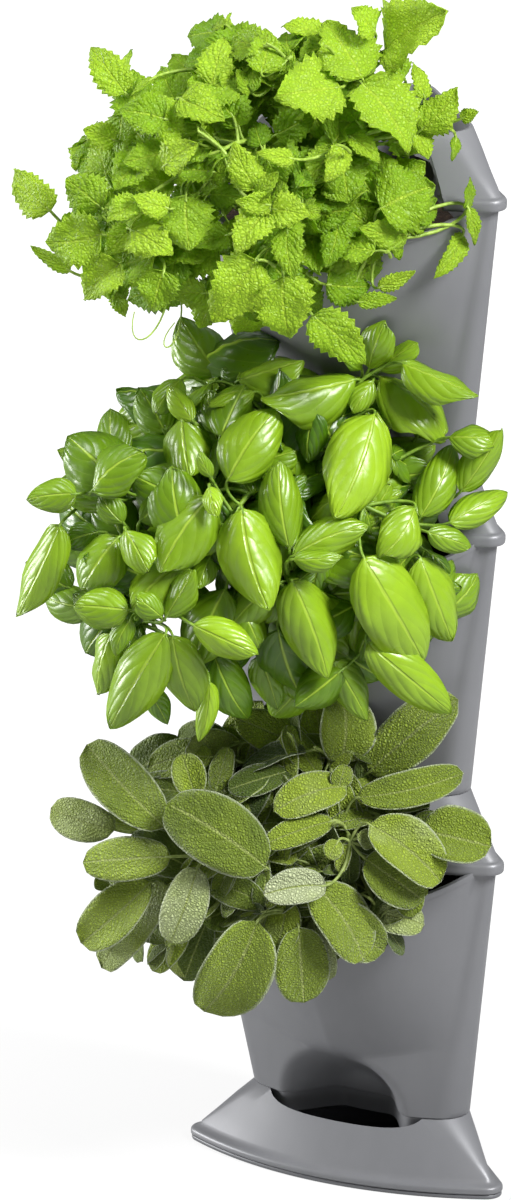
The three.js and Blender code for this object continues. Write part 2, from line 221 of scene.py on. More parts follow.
def combine(base, tool, operation):
    modifier = base.modifiers.new("cut", "BOOLEAN")
    modifier.operation = operation
    modifier.solver = "EXACT"
    modifier.object = tool
    depsgraph = bpy.context.evaluated_depsgraph_get()
    cut = bpy.data.meshes.new_from_object(base.evaluated_get(depsgraph))
    base.modifiers.clear()
    base.data = cut
    bpy.data.objects.remove(tool)


def solid_of(shell):
    return object_of("form", shell)


# Profile entries are height, share from the rim plan to the foot plan, and inset.
def profile_form(profile, closed=True):
    return solid_of(loft([plan_ring(*entry) for entry in profile], closed))


def to_tier(mesh, tier):
    mesh.transform(Matrix.Scale(MM, 4) @ Matrix.Translation((0, 0, tier * TIER_PITCH)))


# Finished moulded piece: raised to its tier, scaled to metres, smooth with small rounded edges.
def mould(name, form, tier, edge):
    mesh = form.data.copy()
    to_tier(mesh, tier)
    piece = add_object(name, mesh)
    mesh.shade_smooth()
    mesh.set_sharp_from_angle(angle=SHARP_ANGLE)
    bevel = piece.modifiers.new("edges", "BEVEL")
    bevel.width = edge * MM
    bevel.segments = 2
    bevel.limit_method = "ANGLE"
    bevel.angle_limit = BEVEL_ANGLE
    bevel.harden_normals = True
    return piece


# Lid and cover

def socket_rings():
    floor = CONE_HEIGHT - PLUG_DEPTH - GAP
    return [
        (CONE_HEIGHT - 0.5, 1, 0),
        (CONE_HEIGHT, 1, 0.6),
        (CONE_HEIGHT, 1, PLUG_INSET - GAP - 0.5),
        (CONE_HEIGHT - 0.6, 1, PLUG_INSET - GAP),
        (floor, 1, PLUG_INSET - GAP),
        (floor, 1, SHELF_WIDTH),
        (floor - WALL, 1, SHELF_WIDTH),
        (floor - WALL, 0.54, 4.3),
    ]


def lid_form():
    profile = [
        (0, 0, 1.5), (0.3, 0, 0.6), (1.0, 0, 0.15), (2.4, 0, 0), (4.2, 0, 0), (5.3, 0, 0.2),
        (6.2, 0, 0.75), (6.8, 0, 1.6), (7.0, 0, 2.4), (7.3, 0, 3.0), (8.0, 0, 3.5),
        (18, 0.36, 2.3), (28, 0.69, 1.1),
        *socket_rings(),
        (14, 0.25, 5.2), (7, 0, 5.9), (6.5, 0, LEDGE_INSET), (POT_TOP + GAP, 0, LEDGE_INSET),
        (POT_TOP + GAP, 0, 3.2), (0, 0, 3.2),
    ]
    form = profile_form(profile)
    inner = LIP["inset"] + LIP["thickness"]
    lip = profile_form([
        (LIP["bottom"], 0, LIP["inset"]), (LIP["top"], 0, LIP["inset"]),
        (LIP["top"], 0, inner), (LIP["bottom"], 0, inner),
    ])
    ahead = bmesh.new()
    bmesh.ops.create_cube(ahead, size=1)
    bmesh.ops.scale(ahead, vec=FRONT_BLOCK, verts=ahead.verts)
    bmesh.ops.translate(ahead, vec=(0, LIP["front_y"] - FRONT_BLOCK[1] / 2, 0), verts=ahead.verts)
    combine(lip, solid_of(ahead), "DIFFERENCE")
    combine(form, lip, "UNION")
    centre, half_size = (0, LID_FRONT["centre_y"]), (LID_FRONT["radius"], LID_FRONT["radius"])
    front = post(centre, half_size, LID_FRONT["bottom"], CONE_HEIGHT + 2 * CUT_OVER, 192)
    combine(form, front, "DIFFERENCE")
    return form


def cover_form():
    profile = [
        (2.8, 0, 1.2), (2.9, 0, 0.5), (3.5, 0, 0.05), (5.4, 0, 0), (6.2, 0, 0.3), (6.9, 0, 1.0),
        (7.3, 0, 2.4), (7.8, 0, 4.0), (8.8, 0, 5.4), (10.4, 0, 6.4), (18, 0.29, 4.6), (28, 0.66, 2.2),
        *socket_rings(),
        (14, 0.2, 7.6), (8, 0, 9.3), (5, 0, 4.2), (2.8, 0, 3.2),
    ]
    form = profile_form(profile)
    centre, half_size = WATER_SLOT["centre"], WATER_SLOT["half_size"]
    slot = post(centre, half_size, WATER_SLOT["bottom"], CONE_HEIGHT + CUT_OVER, 128)
    combine(form, slot, "DIFFERENCE")
    return form


def tray_form():
    wall = DISH_INSET + WALL
    profile = [
        (0, 0, 1.6), (0.2, 0, 0.9), (0.8, 0, 0.6), (1.9, 0, 0.6), (2.4, 0, 0.8), (TRAY_FLANGE, 0, 1.4),
        (TRAY_FLANGE, 0, DISH_INSET), (DISH_HEIGHT - 0.5, 0, DISH_INSET),
        (DISH_HEIGHT, 0, DISH_INSET + 0.6), (DISH_HEIGHT, 0, wall - 0.6),
        (DISH_HEIGHT - 0.5, 0, wall), (TRAY_FLANGE, 0, wall),
    ]
    return profile_form(profile, closed=False)


# Pot

def window(share, half_share, fullness):
    return 0.0 if share is None else max(0.0, 1 - (share / half_share) ** 2) ** fullness


def rim_height(share):
    return POT_TOP - RIM_DIP["depth"] * min(1, window(share, RIM_DIP["half_share"], 1) * RIM_DIP["slope"])


def crease_height(share):
    return CREASE["middle"] + CREASE["rise"] * (1 if share is None else abs(share) ** CREASE["power"])


POT_FOOT = outline(FOOT_PLAN)
POT_RIM = outline(RIM_PLAN, POT_INSET)


# The scoop: a dent low in front that is deepest at the seam and blends into the wall all round.
def scoop_depth(x, z):
    away = hypot(x / SCOOP["half_width"], max(0, z - SEAM) / SCOOP["height"])
    share = min(1, max(0, (1 - away) / (1 - SCOOP["floor"])))
    return SCOOP["depth"] * share * share * (3 - 2 * share)


def wall_ring(rise, lip=0.0, drop=0.0):
    ring = []
    for i, low in enumerate(POT_FOOT):
        share = front_share(i)
        crease = crease_height(share)
        z = lerp(crease, SEAM, -rise) if rise < 0 else lerp(crease, rim_height(share), rise) - drop
        taper = (z - SEAM) / (POT_TOP - SEAM)
        bulge = POCKET["push"] * rise * (1 + POCKET["ease"] - POCKET["ease"] * rise) + lip if rise > 0 else 0
        point = low.lerp(POT_RIM[i], taper)
        push = bulge * window(share, POCKET["half_share"], POCKET["fullness"])
        spread = 0 if share is None else asin(share * sin(radians(FOOT_PLAN["front_angle"])))
        x = point.x + push * sin(spread)
        dent = 0 if share is None else scoop_depth(x, z)
        ring.append(Vector((x, point.y - push * cos(spread) + dent, z)))
    return ring


def plug_ring(inset, z):
    ring = level(outline(FOOT_PLAN, inset), z)
    for i, point in enumerate(ring):
        point.y += 0 if front_share(i) is None else scoop_depth(point.x, z)
    return ring


def pot_outer():
    lip = RIM_LIP["width"]
    height = RIM_LIP["height"]
    rings = [plug_ring(PLUG_INSET, PLUG_BOTTOM), plug_ring(PLUG_INSET, SEAM), plug_ring(0.5, SEAM)]
    rings += [wall_ring(rise) for rise in (*FOOT_RISES, *POCKET_RISES)]
    rings += [
        wall_ring(1, 0, height), wall_ring(1, lip * 0.8, height - 0.1), wall_ring(1, lip, height - 0.8),
        wall_ring(1, lip, 0.8), wall_ring(1, lip * 0.8, 0.1), wall_ring(1, lip * 0.4),
    ]
    rings.append(inset_ring(wall_ring(1), WALL + 3))
    return rings


def pot_inner(inset):
    rings = [plug_ring(PLUG_INSET + inset, PLUG_BOTTOM + WALL), plug_ring(PLUG_INSET + inset, SEAM + WALL)]
    rings.append([Vector((p.x, p.y, SEAM + WALL + 0.05)) for p in inset_ring(wall_ring(-1), inset)])
    rings += [inset_ring(wall_ring(rise), inset) for rise in INNER_RISES]
    mouth = inset_ring(wall_ring(1), inset)
    return rings + [mouth, level(mouth, 20)]


def pot_form():
    form = solid_of(loft(pot_outer()))
    inner = solid_of(loft(pot_inner(WALL)))
    combine(form, inner, "DIFFERENCE")
    for centre in DRAINS:
        half_size = (DRAIN["radius"], DRAIN["radius"])
        drain = post(centre, half_size, PLUG_BOTTOM - 3, PLUG_BOTTOM + CUT_OVER, DRAIN["sides"])
        combine(form, drain, "DIFFERENCE")
    return form


def compost_form():
    inset = WALL + GAP
    rings = [ring for ring in pot_inner(inset) if max(p.z for p in ring) < COMPOST_TOP - 6]
    brim = inset_ring(wall_ring(COMPOST_BRIM_RISE), inset)
    middle = Vector((0, COMPOST_MIDDLE_Y, COMPOST_TOP))
    for share in COMPOST_SHARES:
        ring = []
        for point in brim:
            spot = Vector((point.x, point.y, COMPOST_TOP)).lerp(middle, 1 - share)
            if share < 1:
                waves = [height * noise.noise(spot * scale) for height, scale in COMPOST_WAVES]
                spot.z += sum(waves) - COMPOST_SINK
            ring.append(spot)
        rings.append(ring)
    return solid_of(loft(rings))


# Depths within the plans and the pot's wall, in the tier's own heights: negative is outside.

def depth_inside(plan, x, y, inset=0.0):
    arc_radius, arc_rise = front_arc(plan)
    legs = (plan["half_width"] - abs(x) - (y - plan["chord_y"])) / sqrt(2)
    front = arc_radius - hypot(x, y - (plan["chord_y"] + arc_rise))
    return legs - inset, front - inset, x / arc_radius


def pot_depth(x, y, z):
    if z < PLUG_BOTTOM or z > POT_TOP:
        return FAR_OUTSIDE
    taper = min(1, max(0, (z - SEAM) / (POT_TOP - SEAM)))
    foot_leg, foot_front, side = depth_inside(FOOT_PLAN, x, y)
    rim_leg, rim_front, _ = depth_inside(RIM_PLAN, x, y, POT_INSET)
    share = max(-1, min(1, side / sin(radians(FOOT_PLAN["front_angle"]))))
    rise = (z - crease_height(share)) / max(rim_height(share) - crease_height(share), 1)
    if rise > 1:
        return FAR_OUTSIDE
    bulge = POCKET["push"] * max(0, rise) + RIM_LIP["width"] * (rise > 0.9)
    push = bulge * window(share, POCKET["half_share"], POCKET["fullness"])
    return min(lerp(foot_leg, rim_leg, taper), lerp(foot_front, rim_front, taper) + push)


def is_free(point, margin=1.2):
    x, y, z = point
    if z < COMPOST_TOP + 1 and pot_depth(x, y, z) > -margin:
        return False
    if z > POT_TOP - RIM_DIP["depth"] - MOUTH_ZONE and pot_depth(x, y, z) > -margin:
        return pot_depth(x, y, z) > WALL + margin + 2 and y < MOUTH_FRONT
    if z > LID_ZONE:
        legs, front, _ = depth_inside(RIM_PLAN, x, y, -margin)
        within_front = hypot(x, y - LID_FRONT["centre_y"]) < LID_FRONT["radius"] - margin
        if min(legs, front) > 0 and not within_front:
            return False
    return pot_depth(x, y, z - TIER_PITCH) < -margin


# Materials

class Graph:
    """The nodes of one material or of the surroundings. Its calls hand on the new node's output."""

    def __init__(self, tree):
        self.nodes = tree.nodes
        self.links = tree.links

    def feed(self, socket, value):
        if isinstance(value, bpy.types.NodeSocket):
            self.links.new(value, socket)
        elif isinstance(value, tuple):
            socket.default_value = (*value, 1)
        else:
            socket.default_value = value

    def paint(self, name, value):
        self.feed(self.nodes["Principled BSDF"].inputs[name], value)

    def shader(self):
        return self.nodes["Principled BSDF"].outputs["BSDF"]

    def node(self, kind, output, modes=None, **inputs):
        node = self.nodes.new("ShaderNode" + kind)
        for name, mode in (modes or {}).items():
            setattr(node, name, mode)
        for name, value in inputs.items():
            self.feed(node.inputs[name], value)
        return node.outputs[output]

    def object_coords(self):
        return self.node("TexCoord", "Object")

    def noise(self, coords, scale, detail, rough=0.55):
        return self.node("TexNoise", "Fac", Vector=coords, Scale=scale, Detail=detail, Roughness=rough)

    def ramp(self, fac, stops):
        node = self.nodes.new("ShaderNodeValToRGB")
        self.links.new(fac, node.inputs["Fac"])
        elements = node.color_ramp.elements
        while len(elements) < len(stops):
            elements.new(0.5)
        for element, (position, color) in zip(elements, stops):
            element.position = position
            element.color = (*color, 1) if isinstance(color, tuple) else (color, color, color, 1)
        return node.outputs["Color"]

    def mix(self, fac, first, second):
        return self.node("Mix", "Result", {"data_type": "RGBA"}, Factor=fac, A=first, B=second)

    def maths(self, operation, *values):
        node = self.nodes.new("ShaderNodeMath")
        node.operation = operation
        for socket, value in zip(node.inputs, values):
            self.feed(socket, value)
        return node.outputs["Value"]

    def times(self, first, second):
        return self.maths("MULTIPLY", first, second)

    def plus(self, first, second):
        return self.maths("ADD", first, second)

    def minus(self, first, second):
        return self.maths("SUBTRACT", first, second)

    def bump(self, height, strength, distance, **under):
        return self.node("Bump", "Normal", Height=height, Strength=strength, Distance=distance, **under)

    def blend(self, fac, first, second, output="Material Output"):
        node = self.nodes.new("ShaderNodeMixShader")
        for socket, value in zip(node.inputs, (fac, first, second)):
            self.feed(socket, value)
        self.links.new(node.outputs["Shader"], self.nodes[output].inputs["Surface"])


def new_material(name):
    material = bpy.data.materials.new(name)
    material.use_nodes = True
    return material, Graph(material.node_tree)


# Satin moulded plastic: cloudy grey, fine matt grain, faint flow streaks down the walls.
def tower_plastic(name, light, dark):
    material, look = new_material(name)
    coords = look.object_coords()
    clouds = look.noise(coords, scale=9, detail=4)
    upright = look.node("Mapping", "Vector", Vector=coords, Scale=Vector((70, 70, 6)))
    streaks = look.noise(upright, scale=1, detail=3)
    tone = look.plus(look.times(clouds, 0.7), look.times(streaks, 0.3))
    look.paint("Base Color", look.ramp(tone, [(0.3, dark), (0.7, light)]))
    look.paint("Roughness", look.ramp(tone, [(0.3, 0.46), (0.7, 0.38)]))
    look.paint("Metallic", 0.2)
    waves = look.bump(look.noise(coords, scale=26, detail=1), strength=0.12, distance=0.0012)
    grain = look.noise(coords, scale=2400, detail=2)
    look.paint("Normal", look.bump(grain, strength=0.16, distance=0.0001, Normal=waves))
    return material


def compost_material():
    material, look = new_material("compost")
    crumbs = look.noise(look.object_coords(), scale=160, detail=6, rough=0.7)
    wet, damp, dry = (0.012, 0.007, 0.004), (0.045, 0.026, 0.014), (0.13, 0.085, 0.05)
    look.paint("Base Color", look.ramp(crumbs, [(0.3, wet), (0.55, damp), (0.75, dry)]))
    look.paint("Roughness", look.ramp(crumbs, [(0.3, 0.98), (0.8, 0.8)]))
    look.paint("Normal", look.bump(crumbs, strength=0.9, distance=0.003))
    return material


# Across the blade from its middle, and how far each point lies from the middle line between two side veins.
def blade_map(look, finish):
    split = look.nodes.new("ShaderNodeSeparateXYZ")
    look.links.new(look.node("UVMap", "UV"), split.inputs["Vector"])
    across = look.maths("ABSOLUTE", look.minus(split.outputs["X"], 0.5))
    curved = look.maths("MULTIPLY_ADD", across, finish["curl"], finish["slant"])
    slanted = look.minus(split.outputs["Y"], look.times(across, curved))
    wave = look.maths("FRACT", look.times(slanted, finish["veins"]))
    return across, look.maths("ABSOLUTE", look.minus(wave, 0.5))


# Leaf: pale midrib and side veins on the blade's own map, a tone for each leaf that is partly its own colour
# and partly painted light and shade, quilted or pebbled between the veins with painted shade in the grooves,
# and light showing through.
def leaf_material(name, herb, dark, underside=False):
    material, look = new_material(name)
    finish = herb["finish"]
    across, valley = blade_map(look, finish)
    side_vein = look.ramp(valley, [(0.0, 1.0), (finish["vein_width"], 0.0)])
    midrib = look.ramp(across, [(0.012, 1.0), (0.035, 0.0)])
    veins = look.maths("MAXIMUM", midrib, look.times(side_vein, finish["vein_tone"]))

    coords = look.object_coords()
    mottle = look.noise(coords, scale=55, detail=4)
    # Painted light and shade: each leaf's tone is partly its own colour and partly how lit or shaded it
    # stands. It moves the leaf along a ramp from a shadow-dark green to a lit green, and for sage on to a
    # pale grey-green that is partly felted colour and partly painted sheen.
    leaf_tone_and_shade = look.times(look.node("Attribute", "Fac", {"attribute_name": "tone"}), 0.75)
    tone = look.plus(leaf_tone_and_shade, look.times(mottle, 0.35))
    light = herb["light"]
    paler = [(0.62, light), (0.92, finish["pale"])] if "pale" in finish else [(0.85, light)]
    color = look.mix(veins, look.ramp(tone, [(0.2, dark), *paler]), herb["vein"])

    modes = {"feature": "DISTANCE_TO_EDGE"}
    cells = look.node("TexVoronoi", "Distance", modes, Vector=coords, Scale=finish["cells"])
    quilt = look.ramp(cells, [(0.0, 0.0), (finish["cell_edge"], 1.0)])
    # Painted shade: the grooves between the quilted or pebbled cells are darkened towards a dark green.
    painted_groove_shade = look.times(look.minus(1.0, quilt), finish["cell_shade"])
    color = look.mix(painted_groove_shade, color, finish["groove_shade_colour"])
    if finish["edge"]:
        edge = look.ramp(across, [(0.46, 0.0), (0.49, finish["edge"])])
        color = look.mix(edge, color, DOWNY_EDGE)
    look.paint("Base Color", color)

    rough = finish["rough"] + (0.15 if underside else 0)
    look.paint("Roughness", look.ramp(mottle, [(0.3, rough + 0.08), (0.7, rough - 0.06)]))
    look.paint("Specular IOR Level", finish["gloss"])
    look.paint("Sheen Weight", finish["down"])
    look.paint("Sheen Roughness", 0.5)

    pleats = look.times(look.maths("SINE", look.times(valley, pi)), finish["pleat"])
    rise = look.plus(pleats, look.times(quilt, finish["cell_rise"]))
    rise = look.minus(rise, look.times(midrib, 0.5))
    fine = look.bump(look.noise(coords, scale=finish["fuzz"], detail=2), strength=0.25, distance=0.0002)
    depth = -BLADE_RELIEF if underside else BLADE_RELIEF
    look.paint("Normal", look.bump(rise, strength=0.8, distance=depth, Normal=fine))

    glow = look.node("BsdfTranslucent", "BSDF", Color=look.mix(0.65, color, finish["glow"]))
    look.blend(finish["through"], look.shader(), glow)
    return material


def stem_material(name, dark, light):
    material, look = new_material(name)
    fibre = look.noise(look.object_coords(), scale=300, detail=3)
    look.paint("Base Color", look.ramp(fibre, [(0.3, dark), (0.7, light)]))
    look.paint("Roughness", look.ramp(fibre, [(0.3, 0.6), (0.7, 0.45)]))
    look.paint("Normal", look.bump(fibre, strength=0.3, distance=0.0004))
    return material


DOWNY_EDGE = (0.62, 0.68, 0.5)
BLADE_RELIEF = 0.0012

# Leaf and stem sizes are in millimetres and degrees. The main stems stand in three rows, outermost first.
ROW_ROOTS = (22, 12, 5)
HERBS = {
    "sage": {
        "leaf": {
            "length": 62, "width": 32, "droop": 0.35, "lift": 30, "petiole": 13, "rows": 12, "columns": 6,
            "swell": 0.46, "taper": 0.44, "fold": 0.10, "wave": 0.03, "teeth": 0, "tooth": 0.0,
        },
        "finish": {
            "veins": 11, "slant": 0.45, "curl": 0.5, "vein_width": 0.1, "vein_tone": 0.3, "cells": 620,
            "cell_edge": 0.4, "cell_shade": 0.55, "groove_shade_colour": (0.06, 0.09, 0.006), "edge": 0.6, "rough": 0.6,
            "gloss": 0.45, "pleat": 0.4, "cell_rise": 0.9, "fuzz": 1500, "down": 0.18, "through": 0.2,
            "glow": (0.36, 0.46, 0.03), "pale": (0.73, 0.81, 0.48),
        },
        "dark": (0.045, 0.1, 0.002), "light": (0.42, 0.57, 0.03), "vein": (0.46, 0.55, 0.14),
        "under": (0.46, 0.54, 0.16), "stem": ((0.16, 0.22, 0.04), (0.34, 0.42, 0.12)),
        "filling": 60, "full": 0.8,
        "stems": {
            "count": (4, 3, 2), "reach": (68, 66, 34), "rise": (-34, 16, 52), "from": (-75, -62, -35),
            "to": (60, 46, 40), "pairs": 4,
        },
    },
    "basil": {
        "leaf": {
            "length": 62, "width": 40, "droop": 0.62, "lift": 25, "petiole": 9, "rows": 12, "columns": 6,
            "swell": 0.5, "taper": 0.82, "fold": -0.32, "wave": 0.07, "teeth": 0, "tooth": 0.0,
        },
        "finish": {
            "veins": 5, "slant": 0.35, "curl": 1.5, "vein_width": 0.05, "vein_tone": 0.22, "cells": 120,
            "cell_edge": 0.3, "cell_shade": 0.0, "groove_shade_colour": (0.10, 0.3, 0.01), "edge": 0.0, "rough": 0.33,
            "gloss": 0.75, "pleat": 0.3, "cell_rise": 0.1, "fuzz": 500, "down": 0.0, "through": 0.28,
            "glow": (0.46, 0.72, 0.01),
        },
        "dark": (0.06, 0.155, 0.001), "light": (0.36, 0.57, 0.02), "vein": (0.42, 0.60, 0.05),
        "under": (0.30, 0.48, 0.06), "stem": ((0.10, 0.20, 0.01), (0.26, 0.42, 0.04)),
        "filling": 130, "full": 0.88,
        "stems": {
            "count": (4, 3, 2), "reach": (84, 76, 38), "rise": (-34, 20, 58), "from": (-78, -66, -38),
            "to": (64, 52, 42), "pairs": 4,
        },
    },
    "lemon_balm": {
        "leaf": {
            "length": 40, "width": 31, "droop": 0.35, "lift": 30, "petiole": 12, "rows": 20, "columns": 4,
            "swell": 0.4, "taper": 0.84, "fold": 0.08, "wave": 0.08, "teeth": 9, "tooth": 0.13,
        },
        "finish": {
            "veins": 6, "slant": 0.7, "curl": 0.3, "vein_width": 0.12, "vein_tone": 0.3, "cells": 480,
            "cell_edge": 0.3, "cell_shade": 0.45, "groove_shade_colour": (0.14, 0.28, 0.002), "edge": 0.0, "rough": 0.45,
            "gloss": 0.42, "pleat": 0.5, "cell_rise": 0.4, "fuzz": 900, "down": 0.05, "through": 0.42,
            "glow": (0.58, 0.80, 0.01),
        },
        "dark": (0.18, 0.36, 0.001), "light": (0.52, 0.74, 0.04), "vein": (0.54, 0.72, 0.05),
        "under": (0.46, 0.62, 0.10), "stem": ((0.18, 0.30, 0.02), (0.38, 0.54, 0.08)),
        "filling": 170, "full": 0.76,
        "stems": {
            "count": (4, 3, 3), "reach": (100, 92, 46), "rise": (-40, 26, 74), "from": (-80, -70, -50),
            "to": (60, 44, 44), "pairs": 5,
        },
    },
}

# Leading leaves as seen from the front right, in millimetres from the middle of the tier's rim:
# stalk end across and up, tip across and up, width, layer (2 foremost, -1 hindmost) and tone (1 palest;
# partly the leaf's own colour, partly painted light and shade, lowest for hindmost leaves).
LEADING_LEAVES = {
    "sage": [
        (-99, 10, -143, 57, 31, 1, 0.35), (-118, 41, -89, 58, 22, -1, 0.2),
        (-127, 9, -163, 22, 23, 0, 0.75), (-96, -6, -145, -9, 25, 1, 0.5),
        (-107, -20, -147, -54, 27, 0, 0.55), (-97, -22, -135, -68, 27, 0, 0.7),
        (-81, -12, -97, -54, 25, 1, 0.85), (-43, -12, -98, 24, 39, 2, 0.3),
        (-48, -42, -78, -94, 40, 2, 0.45), (-75, -40, -89, -75, 19, -1, 0.1),
        (-25, -45, -22, -87, 31, 1, 0.4), (-10, -22, -44, -27, 20, 2, 1.0),
        (-16, -22, 12, -64, 32, 1, 0.45), (1, 33, -38, 20, 23, 1, 0.6), (-6, 14, -44, 1, 16, 1, 0.5),
        (14, 12, 54, -20, 30, 2, 0.6), (43, 9, 82, 0, 32, 0, 0.4), (12, -7, 45, -30, 27, 1, 0.35),
        (17, -38, 45, -44, 20, 0, 0.8), (8, 27, 67, 41, 21, 1, 0.4), (14, 41, 63, 81, 33, 0, 0.45),
        (-2, 46, -1, 86, 32, 0, 0.4), (-3, 32, 1, 45, 13, 1, 0.5), (-82, 27, -90, 51, 19, 1, 0.6),
        (-71, 30, -64, 55, 14, 0, 0.4), (-32, 41, -64, 32, 17, 0, 0.1), (-17, 61, -44, 76, 20, -1, 0.1),
        (-55, -22, -75, -30, 17, -1, 0.15), (-43, -15, -47, -35, 12, 0, 0.2),
        (-17, -40, -8, -75, 15, 0, 0.8), (-14, 40, -32, 67, 17, 0, 0.4),
        (-129, -22, -136, -15, 13, -1, 0.4), (-64, 2, -75, 32, 18, -1, 0.3), (-3, 3, -8, -7, 11, 1, 0.6),
        (15, 0, 8, 7, 11, 1, 0.7), (-57, -40, -70, -38, 13, -1, 0.1), (23, 32, 33, 43, 14, -1, 0.8),
    ],
    "basil": [
        (-56, 6, -41, -50, 34, 2, 0.75), (-30, -16, -35, 32, 24, 1, 0.5), (17, 58, -3, 2, 37, 2, 0.9),
        (-64, 21, -37, 62, 31, 1, 0.6), (-50, 27, -27, 38, 18, 0, 0.4), (-74, 12, -102, -29, 32, 1, 0.5),
        (-120, -6, -108, -28, 20, 1, 0.6), (-124, -10, -146, -38, 27, 0, 0.45),
        (-156, -3, -182, -54, 22, 0, 0.7), (-147, 14, -175, 11, 19, 1, 0.5),
        (-138, 16, -111, 38, 25, 1, 0.35), (-112, -1, -90, 21, 20, 0, 0.35),
        (-121, -2, -134, 14, 15, 0, 0.4), (-135, -7, -154, -13, 16, -1, 0.15),
        (-89, 77, -104, 60, 16, 0, 0.4), (-83, 54, -96, 74, 13, 0, 0.8), (-89, 56, -85, 24, 27, 0, 0.55),
        (-68, 80, -90, 112, 30, -1, 0.45), (-80, 84, -38, 102, 42, -1, 0.1), (-49, 70, -74, 65, 13, 0, 0.7),
        (7, 77, -45, 67, 31, 2, 0.55), (-3, 74, -21, 55, 25, 0, 0.2), (16, 76, 5, 59, 14, 2, 0.6),
        (14, 83, 22, 107, 21, 1, 0.5), (20, 82, 39, 97, 15, 0, 0.55), (10, 82, 4, 100, 13, 0, 0.4),
        (20, 78, 58, 48, 31, 2, 0.7), (32, 86, 74, 69, 21, 1, 0.6), (42, 1, 61, 42, 22, 1, 0.5),
        (58, -2, 91, 16, 18, 2, 0.65), (64, 15, 87, 49, 19, 0, 0.6), (58, 45, 83, 45, 18, 0, 0.5),
        (39, 6, 22, -20, 24, 2, 0.7), (46, -7, 71, -15, 14, 2, 0.5), (10, -2, 26, 20, 24, 0, 0.6),
        (-28, -20, 13, -3, 22, 1, 0.6), (-28, -22, -1, -20, 13, 2, 0.5), (11, -21, 48, -80, 37, 2, 0.8),
        (42, -21, 62, -68, 27, 1, 0.75), (13, -68, 61, -109, 25, 1, 0.8), (17, -61, 41, -79, 18, -1, 0.2),
        (-28, -34, -8, -88, 29, 1, 0.7), (-83, -58, -48, -75, 20, 2, 0.8), (-98, -54, -83, -28, 17, 1, 0.5),
        (-118, -50, -149, -47, 22, 1, 0.6), (-100, -54, -114, -43, 15, 1, 0.5),
        (-117, -55, -126, -75, 12, 1, 0.4), (-128, -63, -137, -97, 20, 0, 0.7),
        (-98, -63, -131, -117, 29, 1, 0.6), (-94, -64, -83, -108, 25, 1, 0.6),
        (-74, -21, -80, -38, 13, 0, 0.4), (-74, -89, -80, -123, 12, 0, 1.0),
        (-71, -75, -52, -112, 24, -1, 0.2), (-46, -75, -36, -105, 20, -1, 0.4),
        (-6, -78, 13, -111, 20, 0, 0.5), (-28, -82, -22, -101, 16, -1, 0.3), (-74, 18, -70, 2, 11, 2, 0.9),
        (-73, 23, -80, 37, 8, 2, 0.5), (-107, -95, -97, -113, 13, -1, 0.2), (22, 20, 33, 36, 16, -1, 0.2),
        (-45, 74, -66, 84, 22, -1, 0.1), (-19, 18, -8, 32, 16, -1, 0.15), (40, 45, 49, 57, 16, -1, 0.2),
        (-96, -11, -89, -21, 11, 0, 0.3),
    ],
    "lemon_balm": [
        (22, 74, 56, 96, 34, 1, 0.95), (10, 59, -10, 91, 32, 2, 0.6), (17, 84, 6, 98, 18, -1, 0.8),
        (-12, 82, -33, 88, 13, 0, 0.8), (-45, 62, -42, 87, 19, 1, 0.5), (-24, 66, -38, 73, 14, -1, 0.2),
        (-72, 55, -65, 82, 20, 0, 0.8), (-50, 51, -58, 64, 9, 0, 0.5), (-119, 51, -138, 77, 20, 0, 0.7),
        (-89, 48, -65, 36, 21, 1, 0.7), (-2, 54, -37, 50, 33, 2, 0.75), (10, 56, 36, 19, 34, 2, 0.6),
        (42, 31, 62, 53, 20, 1, 0.7), (44, 48, 38, 68, 10, 1, 1.0), (39, 36, 46, 15, 15, 1, 0.8),
        (20, -12, 50, 1, 36, 1, 0.35), (35, -26, 9, -23, 18, 1, 0.6), (65, -26, 50, -50, 11, 1, 0.7),
        (4, 27, 20, 13, 11, 1, 0.7), (-48, -1, -60, 24, 18, 2, 0.85), (-27, 15, -47, 19, 10, 2, 1.0),
        (0, 22, -10, 3, 14, 1, 0.9), (-39, -12, -19, -16, 20, 2, 0.95), (-43, -14, -59, -36, 20, 2, 1.0),
        (-40, -10, -59, -8, 13, 2, 0.8), (-48, -5, -36, 8, 11, 2, 0.6), (-31, -23, -27, -50, 17, 2, 0.5),
        (-48, -40, -72, -74, 31, 2, 0.8), (-33, -49, -29, -83, 31, 2, 0.7),
        (-116, -23, -94, -37, 23, 1, 0.95), (-116, -23, -130, -37, 15, 0, 0.8),
        (-132, -26, -163, -30, 29, 1, 0.6), (-149, -46, -171, -32, 8, 0, 0.6),
        (-122, -42, -142, -62, 22, 1, 0.9), (-125, -56, -119, -71, 10, 0, 0.7),
        (-160, -13, -180, 10, 21, 0, 0.9), (-136, -12, -149, -3, 11, 0, 0.7),
        (-98, 37, -122, 42, 23, 1, 0.3), (-124, 25, -142, 31, 15, 0, 0.8), (-98, 18, -120, 13, 18, 0, 0.5),
        (-98, 11, -80, 24, 18, 1, 1.0), (-98, -46, -104, -68, 22, 1, 0.4), (67, -12, 69, 5, 8, 1, 0.4),
        (68, -12, 72, -32, 8, 1, 0.6), (64, 37, 73, 41, 8, 0, 0.8), (61, 27, 59, 14, 6, 1, 0.4),
        (-3, -19, -10, -44, 16, 0, 0.2), (8, -63, 29, -61, 9, 1, 0.5), (19, -55, 39, -46, 9, 1, 0.9),
        (-113, -8, -129, -19, 15, 1, 0.7), (-95, -12, -115, -5, 15, 1, 0.95),
        (-22, -5, -33, 9, 16, -1, 0.1), (33, 59, 20, 73, 16, -1, 0.3), (-88, -5, -81, -23, 16, 0, 0.4),
        (-70, 27, -56, 34, 16, -1, 0.2), (-63, -26, -81, -33, 16, 0, 0.3), (-10, 2, 1, -8, 12, 0, 0.3),
        (-74, 2, -63, 13, 12, 0, 0.4), (-104, 59, -116, 50, 5, 0, 0.6), (-17, -70, 12, -97, 24, 1, 0.55),
    ],
}

